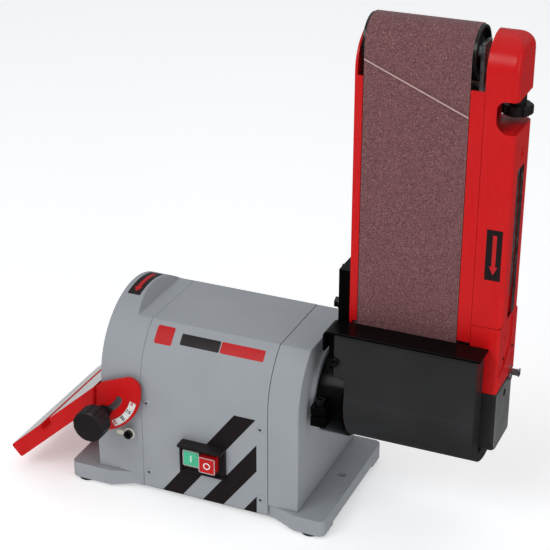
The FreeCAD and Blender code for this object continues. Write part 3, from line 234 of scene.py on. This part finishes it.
def cloth_backing(name):
    """Twill cloth on the belt's edges and inside."""
    g = Graph(name)
    weave = g.add("TexWave", {"Vector": g.place, "Scale": 620.0, "Distortion": 1.2},
                  bands_direction="DIAGONAL")
    fuzz = g.noise(1500.0, 3.0)
    base = g.blend(weave.outputs["Fac"], (0.30, 0.16, 0.13), (0.52, 0.33, 0.28))
    base = g.blend(g.math("MULTIPLY", fuzz, 0.4), base, (0.62, 0.45, 0.40))
    g.surface(Base_Color=base, Roughness=0.9, Normal=g.bump(weave.outputs["Fac"], 0.00008))
    return g.material


def rubber(name):
    g = Graph(name)
    dust = g.noise(90.0, 5.0, 0.7)
    base = g.blend(g.remap(dust, 0.45, 0.8), (0.018, 0.018, 0.019), (0.06, 0.058, 0.055))
    g.surface(Base_Color=base, Roughness=g.remap(dust, 0.3, 0.7, 0.6, 0.85),
              Normal=g.bump(g.noise(1500.0), 0.00004))
    return g.material


def printed(name, colour, roughness=0.35):
    """Printed film: an even ink with slight unevenness and a soft gloss."""
    g = Graph(name)
    ink = g.noise(400.0, 3.0)
    base = g.blend(g.remap(ink, 0.35, 0.65), shade(colour, 0.94), shade(colour, 1.05))
    g.surface(Base_Color=base, Roughness=g.remap(g.noise(50.0, 4.0), 0.3, 0.7, roughness - 0.05, roughness + 0.1),
              Normal=g.bump(ink, 0.000006), Specular_IOR_Level=0.12)
    return g.material


def laminated(name):
    """Stack of stamped electrical steel."""
    g = Graph(name)
    sheets = g.add("TexWave", {"Vector": g.place, "Scale": 320.0, "Distortion": 0.3}, bands_direction="X")
    rust = g.noise(60.0, 5.0, 0.7)
    base = g.blend(sheets.outputs["Fac"], (0.12, 0.12, 0.125), (0.32, 0.32, 0.33))
    base = g.blend(g.remap(rust, 0.55, 0.75, 0.0, 0.5), base, (0.20, 0.12, 0.08))
    g.surface(Base_Color=base, Metallic=0.7, Roughness=0.55, Normal=g.bump(sheets.outputs["Fac"], 0.0002))
    return g.material


def wound_copper(name):
    g = Graph(name)
    strands = g.noise(420.0, 3.0, 0.6, g.stretched(0.25, 1.0, 1.0))
    base = g.blend(g.remap(strands, 0.3, 0.7), (0.22, 0.07, 0.025), (0.62, 0.26, 0.10))
    g.surface(Base_Color=base, Metallic=0.6, Roughness=0.34, Normal=g.bump(strands, 0.0006))
    return g.material


GREY = (0.335, 0.352, 0.374)
RED = (0.585, 0.0068, 0.0078)
BLACK = (0.024, 0.024, 0.025)

MATERIALS = {
    "housing_paint": powder_coat("grey_powder_coat", GREY, 0.45, 0.9, 0.0, 0.025, 0.12),
    "foot_rubber": rubber("foot_rubber"),
    "red_casting": powder_coat("red_casting_paint", RED, 0.34, 0.8, 0.0, 0.05, 0.16),
    "red_sheet": powder_coat("red_sheet_paint", RED, 0.28, 0.5, 0.0, 0.04, 0.20),
    "black_sheet": powder_coat("black_sheet_paint", BLACK, 0.42, 0.9, 0.08, 0.10, 0.4),
    "black_plastic": moulded("black_plastic", (0.016, 0.013, 0.014), 0.38, specular=0.18),
    "black_screws": brushed("black_oxide_steel", (0.055, 0.055, 0.06), 0.30),
    "bright_steel": brushed("bright_steel", (0.62, 0.63, 0.64), 0.26, (0.2, 1.0, 1.0)),
    "galvanised_steel": galvanised("galvanised_steel"),
    "graphite_platen": brushed("ground_platen", (0.20, 0.20, 0.21), 0.4, (1.0, 1.0, 0.05)),
    "cast_aluminium": brushed("machined_aluminium", (0.70, 0.71, 0.72), 0.3, (1.0, 0.3, 0.3)),
    "idler_black": moulded("idler_black", (0.006, 0.006, 0.006), 0.24, 900.0, 0.00001, 0.05, 0.3),
    "stator_steel": laminated("stator_laminations"),
    "copper_winding": wound_copper("copper_winding"),
    "capacitor_case": moulded("capacitor_case", (0.62, 0.62, 0.60), 0.4),
    "belt_grit": grit_cloth("belt_grit", spliced=True),
    "disc_grit": grit_cloth("disc_grit"),
    "scale_print": printed("scale_print", (0.74, 0.74, 0.72)),
    "pointer_cream": moulded("pointer_cream", (0.72, 0.68, 0.58), 0.3),
    "button_green": moulded("button_green", (0.075, 0.530, 0.300), 0.24, coat=0.2),
    "button_red": moulded("button_red", (0.560, 0.010, 0.012), 0.22, coat=0.2),
}
INK_BLACK = printed("ink_black", (0.017, 0.012, 0.013))
INK_RED = printed("ink_red", (0.50, 0.015, 0.018))
INK_WHITE = printed("ink_white", (0.82, 0.82, 0.81))
# rims of the clear button caps: the caps are real, and their pale pinkish tone is partly a painted highlight
# along the clear edges
CLEAR_EDGE_HIGHLIGHT = moulded("clear_cap_edge_highlight", (0.50, 0.40, 0.41), 0.18, coat=0.3)
BARE_TABLE = brushed("ground_table_face", (0.90, 0.88, 0.87), 0.40, (1.0, 0.04, 1.0), 0.00001, 0.04, 0.15)
GLOSS_BLACK = powder_coat("gloss_black_paint", (0.0016, 0.0016, 0.0017), 0.22, 0.5, 0.0, 0.12, 0.10)
CLOTH = cloth_backing("belt_backing")
# painted shade: near-black for screw sockets and small side heads, standing in for the shade inside holes and
# slots
PAINTED_SHADE_BLACK = moulded("painted_recess_shade", (0.004, 0.004, 0.004), 0.7)
BRASS = brushed("brass_insert", (0.60, 0.50, 0.30), 0.3)
END_CAP = moulded("end_cap_plastic", (0.020, 0.019, 0.019), 0.34, coat=0.30)
# painted sheen: a paler grey for the end cap's face along the shaft, standing in for the reflection it catches
END_CAP_PAINTED_SHEEN = moulded("end_cap_painted_sheen", (0.135, 0.134, 0.133), 0.42)
LEVER_STEEL = galvanised("lever_steel", (0.15, 0.155, 0.16), (0.33, 0.34, 0.35))


# ---------------------------------------------------------------- meshes

def link(name, mesh, body, materials):
    """Puts a finished mesh in the scene, riding on its body."""
    obj = bpy.data.objects.new(name, mesh)
    bpy.context.scene.collection.objects.link(obj)
    for material in materials:
        mesh.materials.append(material)
    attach(obj, body)
    return obj


def applied(obj):
    """Replaces an object's mesh by what its modifiers make of it."""
    graph = bpy.context.evaluated_depsgraph_get()
    mesh = bpy.data.meshes.new_from_object(obj.evaluated_get(graph))
    old = obj.data
    obj.modifiers.clear()
    obj.data = mesh
    bpy.data.meshes.remove(old)
    return obj


def smooth(mesh, angle):
    mesh.shade_smooth()
    mesh.set_sharp_from_angle(angle=math.radians(angle))


def soften(obj, width, segments=3, angle=32.0):
    """Rounds an object's crisp edges in its mesh."""
    bevel = obj.modifiers.new("edge", "BEVEL")
    bevel.width = width
    bevel.segments = segments
    bevel.limit_method = "ANGLE"
    bevel.angle_limit = math.radians(angle)
    bevel.use_clamp_overlap = True
    bevel.miter_outer = "MITER_ARC"
    applied(obj)
    smooth(obj.data, 50.0)
    weighted = obj.modifiers.new("normals", "WEIGHTED_NORMAL")
    weighted.keep_sharp = True
    return applied(obj)


def cleaned(mesh):
    """A CAD mesh with its shared corners joined and its flat faces made whole again."""
    copy = mesh.copy()
    copy.materials.clear()
    bm = bmesh.new()
    bm.from_mesh(copy)
    bmesh.ops.remove_doubles(bm, verts=bm.verts, dist=2e-6)
    bmesh.ops.dissolve_limit(bm, angle_limit=math.radians(0.4), verts=bm.verts, edges=bm.edges)
    bm.to_mesh(copy)
    bm.free()
    return copy


def finished(node, width, segments=3, materials=None, paint=None, angle=32.0):
    """Stands in for a CAD node with the same shape, its edges rounded as the real part's are."""
    slot = SLOT_OF[node]
    mesh = cleaned(frame["nodes"][node].data)
    obj = link(node + "_finish", mesh, BODY_OF[node], materials or [MATERIALS[slot]])
    soften(obj, width, segments, angle)
    if paint is not None:
        for face in obj.data.polygons:
            face.material_index = paint(face)
    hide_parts(node)
    return obj


# every CAD node first gets its own material; the ones that need rounder edges are then replaced
for node, obj in frame["nodes"].items():
    obj.data.materials.clear()
    obj.data.materials.append(MATERIALS[SLOT_OF[node]])

EDGE_WIDTHS = {
    "base_frame": 0.0020, "disc_housing": 0.0012, "motor_cover": 0.0003, "end_housing": 0.0012,
    "rubber_feet": 0.0008, "front_quadrant": 0.0008, "rear_quadrant": 0.0008, "arm_shell": 0.0005,
    "lower_cover": 0.0005, "inner_guard": 0.0004,
    "drum_guard": 0.0004, "switch_body": 0.0005, "start_button": 0.0007, "stop_button": 0.0007,
    "clamp_knob_front": 0.0006, "clamp_knob_rear": 0.0006, "tracking_knob": 0.0006,
    "cable_gland": 0.0005, "cover_latch": 0.0002, "lever_bracket": 0.0003,
    "scale_pointer": 0.0003, "drive_drum": 0.0005, "idler_roller": 0.0006, "disc_plate": 0.0005,
    "platen": 0.0004, "bracket_bolts": 0.0004, "spine_bolts": 0.0004, "hub_clamp_bolt": 0.0004,
    "pointer_screw": 0.0003, "guard_screw": 0.0003, "idler_yoke": 0.0005, "arm_spine": 0.0005,
}
for node, width in EDGE_WIDTHS.items():
    finished(node, width)
SPECIAL = {"stop_plate": (0.0005, GLOSS_BLACK), "pivot_hub": (0.0008, GLOSS_BLACK),
           "tension_lever": (0.0003, LEVER_STEEL)}
for node, (width, material) in SPECIAL.items():
    finished(node, width, materials=[material])

TABLE_UP = Vector((-math.sin(TILT_ANGLE), 0.0, math.cos(TILT_ANGLE)))


def table_paint(face):
    """Bare metal on the ground face, paint everywhere else, also down in the mitre slot."""
    depth = -(Vector(face.center) - TILT_AXIS).dot(TABLE_UP)
    return 1 if face.normal.dot(TABLE_UP) > 0.99 and depth < 0.0052 else 0


def belt_paint(face):
    """Grit outside, cloth on the inner face and the two edges."""
    centre = face.center
    low, high = SHAFT_Z, 0.500166
    middle = Vector((0.0, 0.0, min(max(centre.z, low), high)))
    outward = Vector((0.0, centre.y - middle.y, centre.z - middle.z))
    return 0 if face.normal.dot(outward) > 0 and abs(face.normal.x) < 0.5 else 1


def screw_paint(face):
    """Painted domes with the socket in the middle coloured near-black, a painted shade for the inside of the
    hole.
    """
    spots = ((-0.101, 0.111), (-0.101, 0.028), (0.0265, 0.110), (0.0265, 0.027))
    near = min(math.hypot(face.center.x - x, face.center.z - z) for x, z in spots)
    return 1 if near < 0.00145 and face.center.y > -0.0817 else 0


def slot_paint(face):
    """Bare grey walls inside the lever slot, red paint on the rest of the side cover."""
    x, y, z = face.center
    inside = -0.0131 < y < 0.0107 and 0.236 < z < 0.3985
    return 1 if inside and 0.2375 < x < 0.2506 else 0


def plug_paint(face):
    """Brass plug in the end cap, a painted head near the top and lower heads coloured near-black, a painted shade
    standing for dark slots.
    """
    height = face.center.z - SHAFT_Z
    if height < 0.050:
        return 1
    return 2 if height > 0.200 else 3


def cap_paint(face):
    """The end cap's face along the shaft is painted paler than its front: a painted sheen standing in for the
    reflection that face catches.
    """
    return 1 if face.normal.x > 0.8 else 0


finished("disc_table", 0.0010, materials=[MATERIALS["red_casting"], BARE_TABLE], paint=table_paint)
finished("sanding_belt", 0.00012, 2, [MATERIALS["belt_grit"], CLOTH], belt_paint)
finished("cover_screws", 0.0001, 2, [MATERIALS["housing_paint"], PAINTED_SHADE_BLACK], screw_paint)
finished("side_cover", 0.0005, 3, [MATERIALS["red_sheet"], LEVER_STEEL], slot_paint)
finished("end_cap", 0.0008, 3, [END_CAP, END_CAP_PAINTED_SHEEN], cap_paint)
SCREW_PAINTS = [MATERIALS["bright_steel"], BRASS, MATERIALS["red_sheet"], PAINTED_SHADE_BLACK]
finished("side_screws", 0.0002, 2, SCREW_PAINTS, plug_paint)


# ---------------------------------------------------------------- printed and applied details

def on_front(y):
    """Places (x, z) outlines on a wall that faces the user."""
    return lambda u, v, h: (u, y - h, v)


def on_housing(u, v, h):
    """Places (x, arc length above the shaft's level) outlines on the housing's round front."""
    angle = v / HOUSING_RADIUS
    reach = HOUSING_RADIUS + h
    return u, -reach * math.cos(angle), SHAFT_Z + reach * math.sin(angle)


def on_quadrant(u, v, h):
    """Places outlines drawn level about the tilt axis on the face of the printed scale."""
    c, s = math.cos(TILT_ANGLE), math.sin(TILT_ANGLE)
    return TILT_AXIS.x + u * c - v * s, QUADRANT_FACE - 0.0005 - h, TILT_AXIS.z + u * s + v * c


def sheet(name, body, material, outlines, place, height=0.00012, step=None):
    """Thin applied piece: flat outlines, thickened and laid on a surface."""
    bm = bmesh.new()
    for outline in outlines:
        bm.faces.new([bm.verts.new((u, v, 0.0)) for u, v in outline])
    bmesh.ops.remove_doubles(bm, verts=bm.verts, dist=1e-7)
    if step:
        low, high = min(v.co.y for v in bm.verts), max(v.co.y for v in bm.verts)
        for n in range(1, int((high - low) / step) + 1):
            everything = bm.verts[:] + bm.edges[:] + bm.faces[:]
            bmesh.ops.bisect_plane(bm, geom=everything, plane_co=(0, low + n * step, 0), plane_no=(0, 1, 0))
    raised = bmesh.ops.extrude_face_region(bm, geom=bm.faces[:])["geom"]
    for vert in raised:
        if isinstance(vert, bmesh.types.BMVert):
            vert.co.z += height
    for vert in bm.verts:
        vert.co = place(*vert.co)
    bmesh.ops.recalc_face_normals(bm, faces=bm.faces[:])
    mesh = bpy.data.meshes.new(name)
    bm.to_mesh(mesh)
    bm.free()
    return link(name, mesh, body, [material])


def arc(cx, cy, radius, start, end, count):
    angles = [math.radians(start + (end - start) * n / count) for n in range(count + 1)]
    return [(cx + radius * math.cos(a), cy + radius * math.sin(a)) for a in angles]


def panel(left, low, right, high, radius):
    """Rectangle with round corners."""
    corners = ((right, high, 0), (left, high, 90), (left, low, 180), (right, low, 270))
    outline = []
    for x, y, turn in corners:
        cx = x - radius if x == right else x + radius
        cy = y - radius if y == high else y + radius
        outline += arc(cx, cy, radius, turn, turn + 90, 4)
    return outline


def ring(cx, cy, inner, outer, count=32):
    """Ring of four-sided faces."""
    inside, outside = arc(cx, cy, inner, 0, 360, count)[:-1], arc(cx, cy, outer, 0, 360, count)[:-1]
    return [[inside[n], outside[n], outside[(n + 1) % count], inside[(n + 1) % count]] for n in range(count)]


def frame_faces(left, low, right, high, radius, width):
    """Narrow frame just inside a round-cornered rectangle."""
    outside = panel(left, low, right, high, radius)
    inside = panel(left + width, low + width, right - width, high - width, max(radius - width, 0.0002))
    count = len(outside)
    return [[inside[n], outside[n], outside[(n + 1) % count], inside[(n + 1) % count]] for n in range(count)]


def numeral(text, size, weight):
    """Faces of a dial number, centred on the origin."""
    curve = bpy.data.curves.new("numeral", "FONT")
    curve.body, curve.size, curve.offset = text, size, weight
    curve.align_x, curve.align_y = "CENTER", "CENTER"
    obj = bpy.data.objects.new("numeral", curve)
    bpy.context.scene.collection.objects.link(obj)
    graph = bpy.context.evaluated_depsgraph_get()
    mesh = bpy.data.meshes.new_from_object(obj.evaluated_get(graph))
    faces = [[tuple(mesh.vertices[i].co[:2]) for i in polygon.vertices] for polygon in mesh.polygons]
    bpy.data.objects.remove(obj)
    bpy.data.curves.remove(curve)
    bpy.data.meshes.remove(mesh)
    return faces


def turned_about(faces, angle, x, y):
    c, s = math.cos(angle), math.sin(angle)
    return [[(x + u * c - v * s, y + u * s + v * c) for u, v in face] for face in faces]


def belt_direction_label():
    """Black panel with a red arrow that shows which way the belt runs."""
    wall = on_front(COVER_FRONT)
    sheet("belt_direction_panel", "arm", INK_BLACK, [panel(0.2305, 0.2928, 0.2455, 0.3436, 0.0004)], wall)
    x = 0.2384
    arrow = [(x - 0.0019, 0.3383), (x - 0.0019, 0.3069), (x - 0.0041, 0.3069), (x, 0.2985),
             (x + 0.0041, 0.3069), (x + 0.0019, 0.3069), (x + 0.0019, 0.3383)]
    sheet("belt_direction_arrow", "arm", INK_RED, [arrow], wall, 0.0002)


def disc_direction_label():
    """Black band with a red arrow over the round top of the disc housing."""
    low, high = math.radians(70.3) * HOUSING_RADIUS, math.radians(109.0) * HOUSING_RADIUS
    sheet("disc_direction_band", "base", INK_BLACK,
          [panel(-0.1480, low, -0.1335, high, 0.0003)], on_housing, step=0.0015)
    x, tip = -0.1405, low + 0.0045
    head, tail = tip + 0.0075, high - 0.006
    arrow = [(x - 0.0020, tail), (x - 0.0020, head), (x - 0.0042, head), (x, tip),
             (x + 0.0042, head), (x + 0.0020, head), (x + 0.0020, tail)]
    sheet("disc_direction_arrow", "base", INK_RED, [arrow], on_housing, 0.0002, 0.0015)


def housing_stripes():
    """Three slanting black stripes printed on the motor cover."""
    left_low, width, top, foot, right, lean = -0.0860, 0.0235, 0.1194, 0.0095, 0.0218, 0.7590
    wall = on_front(-HOUSING_RADIUS)
    first = [(left_low, foot), (left_low + width, foot), (left_low + width + (top - foot) * lean, top),
             (left_low + (top - foot) * lean, top)]
    second_left = left_low + 0.0465
    reach = (right - second_left) / lean
    second = [(second_left, foot), (second_left + width, foot),
              (right, foot + reach - width / lean), (right, foot + reach)]
    third_left = left_low + 0.0930
    third = [(third_left, foot), (right, foot), (right, foot + (right - third_left) / lean)]
    for number, outline in enumerate((first, second, third), start=1):
        sheet(f"cover_stripe_{number}", "base", INK_BLACK, [outline], wall, 0.00010)


def name_bars():
    """Plain two-tone bar and square in the place of the maker's print."""
    def arc_length(degrees):
        return math.radians(degrees) * HOUSING_RADIUS
    low, high = arc_length(37.6), arc_length(46.2)
    dark = panel(-0.0700, low, -0.0268, high, 0.0012)
    red = panel(-0.0256, low, 0.0220, high, 0.0012)
    square = panel(-0.0985, arc_length(35.2), -0.0790, arc_length(49.2), 0.0020)
    sheet("print_bar_dark", "base", INK_BLACK, [dark], on_housing, 0.0001, 0.0015)
    sheet("print_bar_red", "base", INK_RED, [red], on_housing, 0.0001, 0.0015)
    sheet("print_square", "base", INK_RED, [square], on_housing, 0.0001, 0.0015)


def button_marks():
    """Clear cap edges, their pale tone partly a painted highlight on the clear rims, and the on and off marks of
    the two push buttons.
    """
    start_x, stop_x, z = -0.0489, -0.0282, 0.0602
    start_half, stop_half = 0.0093, 0.0091
    start_face, stop_face = on_front(-0.0865), on_front(-0.0925)
    sheet("start_rim", "start_key", CLEAR_EDGE_HIGHLIGHT,
          frame_faces(start_x - start_half, z - start_half, start_x + start_half, z + start_half, 0.0015, 0.0009),
          start_face, 0.00025)
    sheet("stop_rim", "stop_key", CLEAR_EDGE_HIGHLIGHT,
          frame_faces(stop_x - stop_half, z - stop_half, stop_x + stop_half, z + stop_half, 0.0015, 0.0009),
          stop_face, 0.00025)
    mark = panel(start_x - 0.0006, z - 0.0039, start_x + 0.0006, z + 0.0039, 0.0004)
    sheet("start_mark", "start_key", INK_WHITE, [mark], start_face, 0.0002)
    sheet("stop_mark", "stop_key", INK_WHITE, ring(stop_x, z - 0.0004, 0.0028, 0.0039), stop_face, 0.0002)


def tilt_scale():
    """Numbers and ticks of the tilt scale, every five degrees."""
    ticks = []
    for tilt in range(0, 46, 5):
        angle = math.radians(-58.3 - tilt)
        long = tilt % 15 == 0
        near, far, half = (0.0516 if long else 0.0522), 0.0530, 0.00022
        mark = [(near, -half), (far, -half), (far, half), (near, half)]
        ticks += turned_about([mark], angle, 0.0, 0.0)
    sheet("scale_ticks", "table", INK_BLACK, ticks, on_quadrant, 0.00008)
    for number, tilt in enumerate((0, 15, 30, 45)):
        angle = math.radians(-58.3 - (2.4, 15.0, 29.0, 42.4)[number])
        middle = 0.0489
        faces = turned_about(numeral(str(tilt), 0.0056, 0.00018), angle,
                             middle * math.cos(angle), middle * math.sin(angle))
        ink = INK_RED if tilt in (0, 45) else INK_BLACK
        sheet(f"scale_number_{tilt}", "table", ink, faces, on_quadrant, 0.00008)


belt_direction_label()
disc_direction_label()
housing_stripes()
name_bars()
button_marks()
tilt_scale()


# ---------------------------------------------------------------- camera, light and floor

def make_stage():
    bpy.ops.mesh.primitive_grid_add(x_subdivisions=8, y_subdivisions=8, size=40.0, location=(0, 0, 0))
    floor = bpy.context.object
    floor.name = "floor"
    g = Graph("pale_floor")
    tone = g.noise(3.0, 2.0)
    g.surface(Base_Color=g.blend(tone, (0.86, 0.86, 0.86), (0.90, 0.90, 0.90)), Roughness=0.8,
              Emission_Color=(1.0, 1.0, 1.0, 1.0), Emission_Strength=0.36)
    floor.data.materials.append(g.material)
    floor.visible_glossy = False

    world = bpy.data.worlds.new("studio")
    bpy.context.scene.world = world
    world.use_nodes = True
    nodes, links = world.node_tree.nodes, world.node_tree.links
    background = nodes["Background"]
    background.inputs["Color"].default_value = (0.92, 0.965, 1.0, 1.0)
    split = nodes.new("ShaderNodeSeparateXYZ")
    links.new(nodes.new("ShaderNodeTexCoord").outputs["Generated"], split.inputs[0])
    height = nodes.new("ShaderNodeMapRange")
    for socket, value in (("From Min", -0.04), ("From Max", 0.12), ("To Min", 0.07), ("To Max", 0.38)):
        height.inputs[socket].default_value = value
    links.new(split.outputs["Z"], height.inputs["Value"])
    links.new(height.outputs["Result"], background.inputs["Strength"])

    def area(name, place, target, size, power):
        light = bpy.data.lights.new(name, "AREA")
        light.shape = "RECTANGLE"
        light.size, light.size_y = size
        light.energy = power
        obj = bpy.data.objects.new(name, light)
        obj.location = place
        aim = (Vector(target) - Vector(place)).to_track_quat("-Z", "Y")
        obj.rotation_euler = aim.to_euler()
        bpy.context.scene.collection.objects.link(obj)

    middle = (0.0, 0.0, 0.2)
    area("key_softbox", (-0.63, -1.80, 1.86), (0.2, -0.05, 0.45), (1.7, 0.9), 24.0)
    area("fill_softbox", (1.9, -0.9, 1.0), middle, (1.0, 1.6), 9.0)
    area("overhead_softbox", (0.0, 1.0, 4.0), (0.0, 0.6, 0.0), (5.0, 5.0), 45.0)


def make_camera():
    azimuth, elevation = math.radians(23.53), math.radians(25.72)
    camera = bpy.data.cameras.new("camera")
    camera.lens = 101.55
    camera.sensor_width = 36.0
    camera.clip_end = 60.0
    obj = bpy.data.objects.new("camera", camera)
    obj.location = (0.5687, -1.2892, 0.9191)
    looking = Vector((-math.sin(azimuth) * math.cos(elevation),
                      math.cos(azimuth) * math.cos(elevation),
                      -math.sin(elevation)))
    obj.rotation_euler = looking.to_track_quat("-Z", "Y").to_euler()
    bpy.context.scene.collection.objects.link(obj)
    bpy.context.scene.camera = obj


make_stage()
make_camera()
bpy.context.scene.view_settings.view_transform = "Standard"
